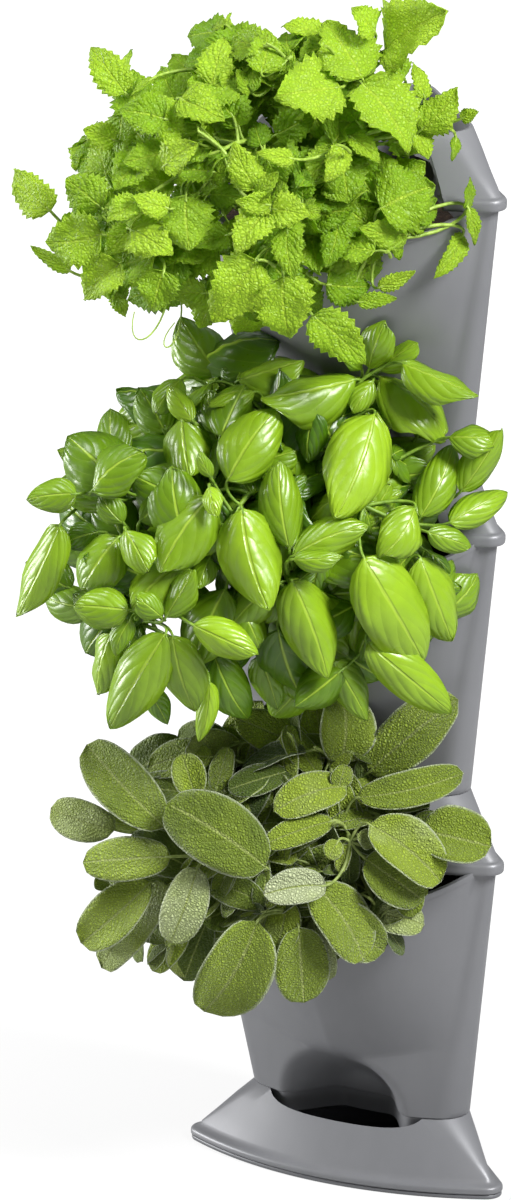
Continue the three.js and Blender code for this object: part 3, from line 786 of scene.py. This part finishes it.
# Directions of that view, and each herb's crown in it: middle and half size across, up and out to the eye,
# and the height of the eye over the middle of the rim.
EYE_DISTANCE = 6500
VIEW_TURN = radians(30)
VIEW_TILT = radians(17.94248)
VIEW_ROLL = radians(0.4262)
NEAR = cos(VIEW_TILT)
ACROSS = Vector((cos(VIEW_TURN), sin(VIEW_TURN), 0))
OUT = Vector((sin(VIEW_TURN) * NEAR, -cos(VIEW_TURN) * NEAR, sin(VIEW_TILT)))
UP = OUT.cross(ACROSS)
CROWNS = {
    "sage": ((-41, -4, 30), (128, 98, 72), 136),
    "basil": ((-49, -8, 34), (145, 117, 76), -44),
    "lemon_balm": ((-54, 0, 30), (134, 108, 76), -224),
}
LAYER_DEPTHS = {2: 8, 1: 0, 0: -11, -1: -26}
BASE_SINK = 12
TIP_SINK = 4
MOST_SLOPE = 0.4
WIDTH_SHARE = 0.35
# Filling tones run lower than those of the leading leaves: painted shade deep in the crown.
FILLING = {
    "spread": 0.9, "turn": 0.8, "length": (0.55, 0.9), "shown": 0.85, "depth": (-62, -18),
    "tip_depth": (-14, 14), "behind": 6, "room": 9, "width": (0.85, 1.1), "tone": (0.05, 0.65),
}

# Bare runners that hang out of a crown from one of its sprigs: three bends each, across and up.
RUNNERS = {("lemon_balm", 2): [((-88, -84), (-122, -98), (-114, -68)), ((-74, -98), (-112, -96), (-92, -74))]}
RUNNER_DEPTH = 72

# Stems: how much shorter those to one side are, where they root, how high they arch, and the share of the
# stem and the turn in radians at which each side shoot leaves it.
LEAN = 0.35
STEM_ROOT_Y = -24
STEM_ARCH = 34
SIDE_SHOOTS = ((0.5, 0.8), (0.75, -0.7))

# Leaves: turns that are tried, room kept to the tower, steps out to the eye, and how far each may stray.
TWIST_STEPS = (0, 14, -14, 28, -28, 45, -45, 65, -65, 85)
LEAF_THICKNESS = 0.45
LEAF_MARGIN = 3
FILLING_MARGIN = 5
DEPTH_STEP = 4
DEPTH_STEPS = 24
BLOCKED_COST = 60
HIDDEN_SHARE = 0.8
HIDDEN_DEPTH = 17
PUCKERS = 5
ARCH_SHARE = 0.4
ROSETTE_LIFT = 52
DROOP_RANGE = (0.3, 2.2)
STRAY_FOLD = 0.12
STRAY_TWIST = 0.35
STRAY_SWAY = 0.22


# Stems

def bezier(points, share):
    a, b, c, d = points
    rest = 1 - share
    return a * rest ** 3 + b * (3 * rest ** 2 * share) + c * (3 * rest * share ** 2) + d * share ** 3


def bezier_direction(points, share):
    ahead = bezier(points, min(1, share + 0.01))
    behind = bezier(points, max(0, share - 0.01))
    return (ahead - behind).normalized()


def main_stem(heading, root, reach, rise):
    length = reach * (1 - LEAN * heading / (pi / 2))
    outward = Vector((sin(heading), -cos(heading), 0))
    start = Vector((0, STEM_ROOT_Y, COMPOST_TOP + 0.3)) + outward * root
    tip = start + outward * length
    tip.z = rise
    upright = Vector((start.x, start.y, max(rise, 0) * 0.6 + STEM_ARCH))
    bend = start + outward * length * 0.62
    bend.z = rise + STEM_ARCH
    return [start, upright, bend, tip]


# A crown is an ellipsoid in the view's own directions: share of its half size, and depth of its front.
def crown_share(crown, across, up):
    middle, size, _ = crown
    return hypot((across - middle[0]) / size[0], (up - middle[1]) / size[1])


def crown_front(crown, across, up):
    middle, size, _ = crown
    return middle[2] + size[2] * sqrt(max(0, 1 - crown_share(crown, across, up) ** 2))


# The point at this depth towards the eye that is seen at this place of the crown.
def seen_point(crown, across, up, out):
    nearer = out / EYE_DISTANCE
    return ACROSS * (across * (1 - nearer)) + UP * lerp(up, crown[2], nearer) + OUT * out


# First depth towards the eye, from the given one on, at which the point hangs free of the tower.
def free_depth(crown, across, up, out, margin=2.5):
    for step in range(DEPTH_STEPS):
        if is_free(seen_point(crown, across, up, out + step * DEPTH_STEP), margin):
            return out + step * DEPTH_STEP
    return out


class Sprig:
    """One shoot with its side shoots: blades and stalks gathered in the tier's own millimetres."""

    def __init__(self, herb, seed, crown):
        self.crown = crown
        self.leaf = herb["leaf"]
        self.chance = random.Random(seed)
        self.blades = bmesh.new()
        self.map = self.blades.loops.layers.uv.new("UVMap")
        self.tone = self.blades.verts.layers.float.new("tone")
        self.stalks = []

    def stalk(self, points, thick, thin):
        self.stalks.append((points, thick, thin))

    # Point of a drooping blade's middle line.
    def spine(self, base, along, up, length, droop, share):
        angle = droop * share / 2
        return base + (along * cos(angle) - up * sin(angle)) * (length * share)

    def blade_free(self, base, along, side, up, length, width, droop):
        for share in (0.25, 0.55, 0.8, 1.0):
            middle = self.spine(base, along, up, length, droop, share)
            for across in (-0.5, 0, 0.5) if share < 1 else (0,):
                if not is_free(middle + side * (across * width), LEAF_MARGIN):
                    return False
        return True

    # One blade: a grid bent down along its spine, as wide as the leaf's outline at each row, with its edges
    # toothed or waved, its halves folded and its face puckered between the veins.
    def blade(self, base, along, side, size, tone, width=None):
        leaf = self.leaf
        chance = self.chance
        up = side.cross(along).normalized()
        length = leaf["length"] * size
        half = (leaf["width"] * size if width is None else width) / 2
        droop = leaf["droop"] * chance.uniform(*DROOP_RANGE)
        if width is not None:
            along = along * cos(droop * ARCH_SHARE) + up * sin(droop * ARCH_SHARE)
            up = side.cross(along).normalized()
        fold = leaf["fold"] + chance.uniform(-STRAY_FOLD, STRAY_FOLD)
        twist = chance.uniform(-STRAY_TWIST, STRAY_TWIST)
        phase = chance.uniform(0, 6.28)
        sway = chance.uniform(-STRAY_SWAY, STRAY_SWAY)
        widest = leaf["swell"] / (leaf["swell"] + leaf["taper"])
        crest = widest ** leaf["swell"] * (1 - widest) ** leaf["taper"]
        made = bmesh.ops.create_grid(
            self.blades, x_segments=leaf["columns"], y_segments=leaf["rows"], size=1, calc_uvs=True,
        )
        for vert in made["verts"]:
            across = vert.co.x
            share = (vert.co.y + 1) / 2
            share = lerp(share, (1 - cos(pi * share)) / 2, 0.55)
            spread = share ** leaf["swell"] * (1 - share) ** leaf["taper"] / crest
            spread = max(spread, 0.03 * (1 - share))
            row = round((vert.co.y + 1) / 2 * leaf["rows"])
            if leaf["teeth"] and abs(across) > 0.99:
                spread *= 1 + leaf["tooth"] * (1 if row % 2 else -0.6)
            middle = self.spine(base, along, up, length, droop, share)
            turn = twist * share
            out = side * cos(turn) + up * sin(turn)
            lift = (up * cos(turn) - side * sin(turn)).normalized()
            height = abs(across) ** 1.6 * half * spread * fold * 2
            height += half * leaf["wave"] * sin(share * 11 + phase + across * 2) * abs(across) ** 2 * 2
            puff = cos((share - abs(across) * 0.3) * 6.28 * PUCKERS)
            height += puff * 0.012 * half * (1 - abs(across)) * 2
            pull = side * sway * length * share * (1 - share)
            vert.co = middle + out * (half * spread * across) + lift * height + pull
            vert[self.tone] = tone

    def stray(self):
        return Vector([self.chance.gauss(0, 1) for _ in range(3)])

    # Leaves turn their faces outwards and up to the light, each a little differently.
    def facing(self, node):
        outward = Vector((node.x, node.y + 5, 0)).normalized()
        return (outward * 0.8 + Vector((-0.12, 0, 0.62)) + self.stray() * 0.3).normalized()

    # A leaf on its own stalk stays as it grows where it hangs free, or else takes the first turn that does.
    def leaf_at(self, node, direction, turn, size, lift, petiole=1.0):
        leaf = self.leaf
        tone = self.chance.uniform(0, 0.6)
        flat = Vector((direction.y, -direction.x, 0))
        flat = flat.normalized() if flat.length > 0.05 else Vector((1, 0, 0))
        across = Matrix.Rotation(turn, 3, direction) @ flat
        for step in TWIST_STEPS:
            angle = radians(lift + step)
            along = (across * cos(angle) + direction * sin(angle)).normalized()
            face = self.facing(node)
            along = (along - face * along.dot(face) * 0.8).normalized()
            side = along.cross(face)
            side = side.normalized() if side.length > 0.05 else Vector((1, 0, 0))
            up = side.cross(along).normalized()
            reach = leaf["petiole"] * size * petiole
            base = node + along * reach
            length = leaf["length"] * size
            if not self.within_crown(base + along * length * 0.8):
                continue
            if self.blade_free(base, along, side, up, length, leaf["width"] * size, leaf["droop"]):
                middle = node + along * reach * 0.5 + up * reach * 0.12
                end = base + along * 2 * size
                self.stalk([node, middle, base, end], size ** 0.5, 0.6 * size ** 0.5)
                self.blade(base, along, side, size, tone)
                return

    # A filling leaf stays inside the crown and behind its foremost leaves.
    def within_crown(self, point):
        across, up, out = point.dot(ACROSS), point.dot(UP), point.dot(OUT)
        if crown_share(self.crown, across, up) > HIDDEN_SHARE:
            return False
        return out < crown_front(self.crown, across, up) - HIDDEN_DEPTH

    # Share of a stem up to which it stays hidden in the crown.
    def hidden_part(self, curve):
        share = 0.5
        while share < 1 and self.within_crown(bezier(curve, share + 0.05)):
            share += 0.05
        return share

    # A leaf at its own place in the view, and a stalk to it from the stem by the shortest way that is free.
    def leading_leaf(self, base, tip, width, tone, curve):
        leaf = self.leaf
        along = (tip - base).normalized()
        size = (tip - base).length / leaf["length"]
        middle = (base + tip) / 2
        crown_middle = seen_point(self.crown, *self.crown[0])
        away = (middle - crown_middle).normalized()
        face = (away * 0.5 + OUT * 0.7 + Vector((0, 0, 0.25)) + self.stray() * 0.13).normalized()
        side = along.cross(face).normalized()
        slant = max(0.87, sqrt(1 - side.dot(OUT) ** 2))
        self.blade(base, along, side, size, tone, width / slant)
        score = inf
        end = self.hidden_part(curve)
        for k in range(6, 17):
            node = bezier(curve, end * k / 16)
            reach = (node - base).length
            for dip in (0.3, 0.1, -0.15):
                bend = node.lerp(base - along * min(25, reach * 0.4), 0.6) - OUT * (reach * dip * 0.6)
                near = base - along * min(7, 0.2 * reach) - OUT * min(26, reach * dip)
                path = [bezier([node, bend, near, base], i / 7) for i in range(8)]
                blocked = sum(not is_free(point, LEAF_MARGIN) for point in path[2:-1])
                if reach + blocked * BLOCKED_COST < score:
                    best, score = path, reach + blocked * BLOCKED_COST
        thick = lerp(0.9, 1.4, min(1, (best[0] - base).length / 70))
        self.stalk(best + [base + along * 3], thick, 0.75)

    def runner(self, bends, curve):
        node = bezier(curve, 0.7)
        controls = [node] + [seen_point(self.crown, across, up, RUNNER_DEPTH) for across, up in bends]
        self.stalk([bezier(controls, i / 16) for i in range(17)], 0.6, 0.35)

    # Pairs of leaves along the stem, each pair across the one below it, and a rosette at the end.
    def shoot(self, curve, pairs, first, size, thick, thin):
        steps = 10
        end = self.hidden_part(curve)
        self.stalk([bezier(curve, end * i / steps) for i in range(steps + 1)], thick, thin)
        spin = self.chance.uniform(0, 3.14)
        for pair in range(pairs):
            share = end * lerp(first, 0.97, pair / max(pairs - 1, 1))
            node = bezier(curve, share)
            direction = bezier_direction(curve, share)
            scale = size * lerp(1, 0.66, pair / max(pairs - 1, 1)) * self.chance.uniform(0.86, 1.12)
            for side in (0, pi):
                turn = spin + side + (pair % 2) * pi / 2
                self.leaf_at(node, direction, turn, scale, self.leaf["lift"])
        node = bezier(curve, end * 0.995)
        direction = bezier_direction(curve, end * 0.99)
        for k in range(4):
            turn = spin + k * pi / 2 + 0.7
            self.leaf_at(node, direction, turn, size * (0.42 if k % 2 else 0.3), ROSETTE_LIFT, petiole=0.5)

    def side_shoot(self, curve, share, sway, reach, size):
        node = bezier(curve, share)
        direction = bezier_direction(curve, share)
        outward = Matrix.Rotation(sway, 3, "Z") @ Vector((direction.x, direction.y, 0)).normalized()
        tip = node + outward * reach + Vector((0, 0, self.chance.uniform(-0.2, 0.7) * reach))
        rising = node + outward * reach * 0.3 + Vector((0, 0, 8))
        branch = [node, rising, node.lerp(tip, 0.7) + Vector((0, 0, 6)), tip]
        if all(is_free(bezier(branch, s)) for s in (0.4, 0.7, 1)):
            self.shoot(branch, 2, first=0.55, size=size, thick=1.1, thin=0.8)


def stalk_object(name, stalks, tier):
    curve = bpy.data.curves.new(name, "CURVE")
    curve.dimensions = "3D"
    curve.bevel_depth = 1
    curve.bevel_resolution = 1
    curve.use_fill_caps = True
    for points, thick, thin in stalks:
        spline = curve.splines.new("POLY")
        spline.points.add(len(points) - 1)
        for i, (spot, point) in enumerate(zip(spline.points, points)):
            spot.co = (*point, 1)
            spot.radius = lerp(thick, thin, i / (len(points) - 1))
    source = add_object(name, curve)
    mesh = bpy.data.meshes.new_from_object(source.evaluated_get(bpy.context.evaluated_depsgraph_get()))
    bpy.data.objects.remove(source)
    to_tier(mesh, tier)
    mesh.shade_smooth()
    mesh.name = name
    return add_object(name, mesh)


def blade_object(name, sprig, tier):
    bmesh.ops.scale(sprig.blades, vec=(MM, MM, MM), verts=sprig.blades.verts)
    bmesh.ops.translate(sprig.blades, vec=(0, 0, tier * TIER_PITCH * MM), verts=sprig.blades.verts)
    piece = object_of(name, sprig.blades)
    piece.data.shade_smooth()
    thick = piece.modifiers.new("thickness", "SOLIDIFY")
    thick.thickness = LEAF_THICKNESS * MM
    thick.offset = 0
    thick.material_offset = 1
    return piece


def leading_places(herb_name):
    crown = CROWNS[herb_name]
    places = []
    for across0, up0, across1, up1, width, layer, tone in LEADING_LEAVES[herb_name]:
        depth = LAYER_DEPTHS[layer]
        base_out = free_depth(crown, across0, up0, crown_front(crown, across0, up0) + depth - BASE_SINK)
        slope = MOST_SLOPE * hypot(across1 - across0, up1 - up0)
        tip_out = crown_front(crown, across1, up1) + depth - TIP_SINK
        tip_out = free_depth(crown, across1, up1, min(base_out + slope, max(base_out - slope, tip_out)))
        middle = ((across0 + across1) / 2, (up0 + up1) / 2, (base_out + tip_out) / 2)
        extra = free_depth(crown, *middle, LEAF_MARGIN + WIDTH_SHARE * width) - middle[2]
        base = seen_point(crown, across0, up0, base_out + extra)
        tip = seen_point(crown, across1, up1, tip_out + extra)
        places.append((base, tip, width, tone))
    return places


# Smaller leaves in the depth of the crown, pointing away from its middle; their darker tones are painted
# shade.
def filling_places(herb_name):
    chance = random.Random(herb_name)
    leaf = HERBS[herb_name]["leaf"]
    crown = CROWNS[herb_name]
    middle, size, _ = crown
    places = []
    for _ in range(HERBS[herb_name]["filling"]):
        angle = chance.uniform(-pi, pi)
        reach = sqrt(chance.uniform(0.02, 0.8))
        across0 = middle[0] + cos(angle) * reach * size[0] * FILLING["spread"]
        up0 = middle[1] + sin(angle) * reach * size[1] * FILLING["spread"]
        heading = angle + chance.gauss(0, FILLING["turn"])
        length = leaf["length"] * chance.uniform(*FILLING["length"])
        across1 = across0 + cos(heading) * length * FILLING["shown"]
        up1 = up0 + sin(heading) * length * FILLING["shown"]
        if crown_share(crown, across1, up1) > HERBS[herb_name]["full"]:
            continue
        depth = chance.uniform(*FILLING["depth"])
        front0 = crown_front(crown, across0, up0)
        front1 = crown_front(crown, across1, up1)
        out0 = free_depth(crown, across0, up0, front0 + depth, FILLING_MARGIN)
        tip_depth = depth + chance.uniform(*FILLING["tip_depth"])
        out1 = free_depth(crown, across1, up1, front1 + tip_depth, FILLING_MARGIN)
        base = seen_point(crown, across0, up0, out0)
        tip = seen_point(crown, across1, up1, out1)
        behind = out0 < front0 - FILLING["behind"] and out1 < front1
        if behind and is_free(base.lerp(tip, 0.5), FILLING["room"]):
            width = length * leaf["width"] / leaf["length"] * chance.uniform(*FILLING["width"])
            places.append((base, tip, width, chance.uniform(*FILLING["tone"])))
    return places


def join_body(piece, body, node):
    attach(piece, body)
    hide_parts(node)


def grow_sprig(herb_name, tier, number, curve, leading, finishes):
    sprig = Sprig(HERBS[herb_name], f"{herb_name} {number}", CROWNS[herb_name])
    for base, tip, width, tone in leading:
        sprig.leading_leaf(base, tip, width, tone, curve)
    for bends in RUNNERS.get((herb_name, number), []):
        sprig.runner(bends, curve)
    sprig.shoot(curve, HERBS[herb_name]["stems"]["pairs"], first=0.4, size=0.9, thick=1.8, thin=1.3)
    for share, sway in SIDE_SHOOTS:
        sprig.side_shoot(curve, share, sway, reach=sprig.chance.uniform(20, 34), size=0.65)
    leaves = blade_object(f"{herb_name}_leaves_{number}", sprig, tier)
    for finish in finishes[:2]:
        leaves.data.materials.append(finish)
    stems = stalk_object(f"{herb_name}_stems_{number}", sprig.stalks, tier)
    stems.data.materials.append(finishes[2])
    for piece in (leaves, stems):
        join_body(piece, f"pot_{tier}", f"{herb_name}_sprig_{number}")


def herb_stems(rows):
    curves = []
    keys = ("count", "reach", "rise", "from", "to")
    for root, count, reach, rise, first, last in zip(ROW_ROOTS, *(rows[key] for key in keys)):
        headings = [radians(lerp(first, last, i / (count - 1))) for i in range(count)]
        curves += [main_stem(heading, root, reach, rise) for heading in headings]
    return curves


# Every leaf grows from the main stem that comes nearest to it.
def grow_herb(herb_name, tier):
    herb = HERBS[herb_name]
    finishes = [
        leaf_material(f"{herb_name}_leaf", herb, herb["dark"]),
        leaf_material(f"{herb_name}_leaf_back", herb, herb["under"], underside=True),
        stem_material(f"{herb_name}_stem", *herb["stem"]),
    ]
    stems = herb_stems(herb["stems"])
    placed = [[] for _ in stems]
    for leaf in leading_places(herb_name) + filling_places(herb_name):
        reaches = [min((bezier(stem, k / 10) - leaf[0]).length for k in range(4, 11)) for stem in stems]
        placed[reaches.index(min(reaches))].append(leaf)
    for number, (curve, leaves) in enumerate(zip(stems, placed), start=1):
        grow_sprig(herb_name, tier, number, curve, leaves, finishes)


# Tower

def place(name, form, tier, body, node, material, edge=0.5):
    piece = mould(name, form, tier, edge)
    piece.data.materials.clear()
    piece.data.materials.append(material)
    join_body(piece, body, node)


def build_tower():
    plastic = tower_plastic("tower_plastic", (0.215, 0.218, 0.23), (0.18, 0.183, 0.195))
    tray_plastic = tower_plastic("tray_plastic", (0.19, 0.193, 0.205), (0.155, 0.158, 0.17))
    earth = compost_material()
    tray, cover, pot, lid, compost = tray_form(), cover_form(), pot_form(), lid_form(), compost_form()
    place("tray_shell", tray, 0, "drip_tray", "drip_tray", tray_plastic, 0.3)
    place("cover_shell", cover, 0, "base_cover", "base_cover", plastic)
    for tier in (1, 2, 3):
        pot_name, lid_name, fill_name = f"pot_{tier}", f"lid_{tier}", f"compost_{tier}"
        place(f"pot_shell_{tier}", pot, tier, pot_name, pot_name, plastic)
        place(f"lid_shell_{tier}", lid, tier, lid_name, lid_name, plastic)
        place(f"compost_fill_{tier}", compost, tier, pot_name, fill_name, earth, 0.2)
    for form in (tray, cover, pot, lid, compost):
        bpy.data.objects.remove(form)


# Studio

def add_lamp(name, place_at, aim, size, watts):
    lamp = bpy.data.lights.new(name, "AREA")
    lamp.size = size
    lamp.energy = watts
    holder = add_object(name, lamp)
    holder.location = place_at
    holder.rotation_euler = (Vector(aim) - Vector(place_at)).to_track_quat("-Z", "Y").to_euler()


# White surroundings: bright where the eye sees them, soft where they light the object.
def build_surroundings():
    world = bpy.data.worlds.new("studio")
    bpy.context.scene.world = world
    world.use_nodes = True
    look = Graph(world.node_tree)
    white = look.nodes["Background"]
    look.feed(white.inputs["Color"], (1, 1, 1))
    look.feed(white.inputs["Strength"], 1)
    soft = look.node("Background", "Background", Color=(1, 1, 1), Strength=SOFT_LIGHT)
    direct = look.node("LightPath", "Is Camera Ray")
    seen = look.maths("MAXIMUM", direct, look.node("LightPath", "Is Transmission Ray"))
    look.blend(seen, soft, white.outputs["Background"], "World Output")


# White floor that keeps the object's shadow and turns paler with distance.
def build_floor():
    grid = bmesh.new()
    bmesh.ops.create_grid(grid, x_segments=1, y_segments=1, size=FLOOR["half_size"])
    floor = object_of("studio_floor", grid)
    material, look = new_material("studio_floor")
    look.paint("Base Color", (FLOOR["grey"],) * 3)
    look.paint("Roughness", 0.9)
    look.paint("Specular IOR Level", 0.1)
    away = look.node("VectorMath", "Value", {"operation": "LENGTH"}, Vector=look.object_coords())
    paler = look.maths("MULTIPLY_ADD", away, FLOOR["glow_rise"], FLOOR["glow"])
    glow = look.node("Emission", "Emission", Strength=look.maths("MINIMUM", paler, FLOOR["glow_top"]))
    seen = look.times(look.node("LightPath", "Is Camera Ray"), FLOOR["share"])
    look.blend(seen, look.shader(), glow)
    floor.data.materials.append(material)


def build_camera():
    camera = bpy.data.cameras.new("camera")
    camera.sensor_width = 36
    camera.lens = 355.91
    camera.clip_end = 100
    holder = add_object("camera", camera)
    holder.location = (3.10833, -5.38378, 2.34640)
    turn = Matrix.Rotation(VIEW_TURN, 4, "Z")
    tilt = Matrix.Rotation(pi / 2 - VIEW_TILT, 4, "X")
    roll = Matrix.Rotation(VIEW_ROLL, 4, "Y")
    holder.rotation_euler = (turn @ tilt @ roll).to_euler()
    bpy.context.scene.camera = holder


build_camera()
build_surroundings()
build_floor()
for lamp_name, lamp_values in LAMPS.items():
    add_lamp(lamp_name, *lamp_values)
build_tower()
for tier, herb_name in enumerate(HERBS, start=1):
    grow_herb(herb_name, tier)

bpy.context.scene.view_settings.view_transform = "Standard"
bpy.context.view_layer.update()
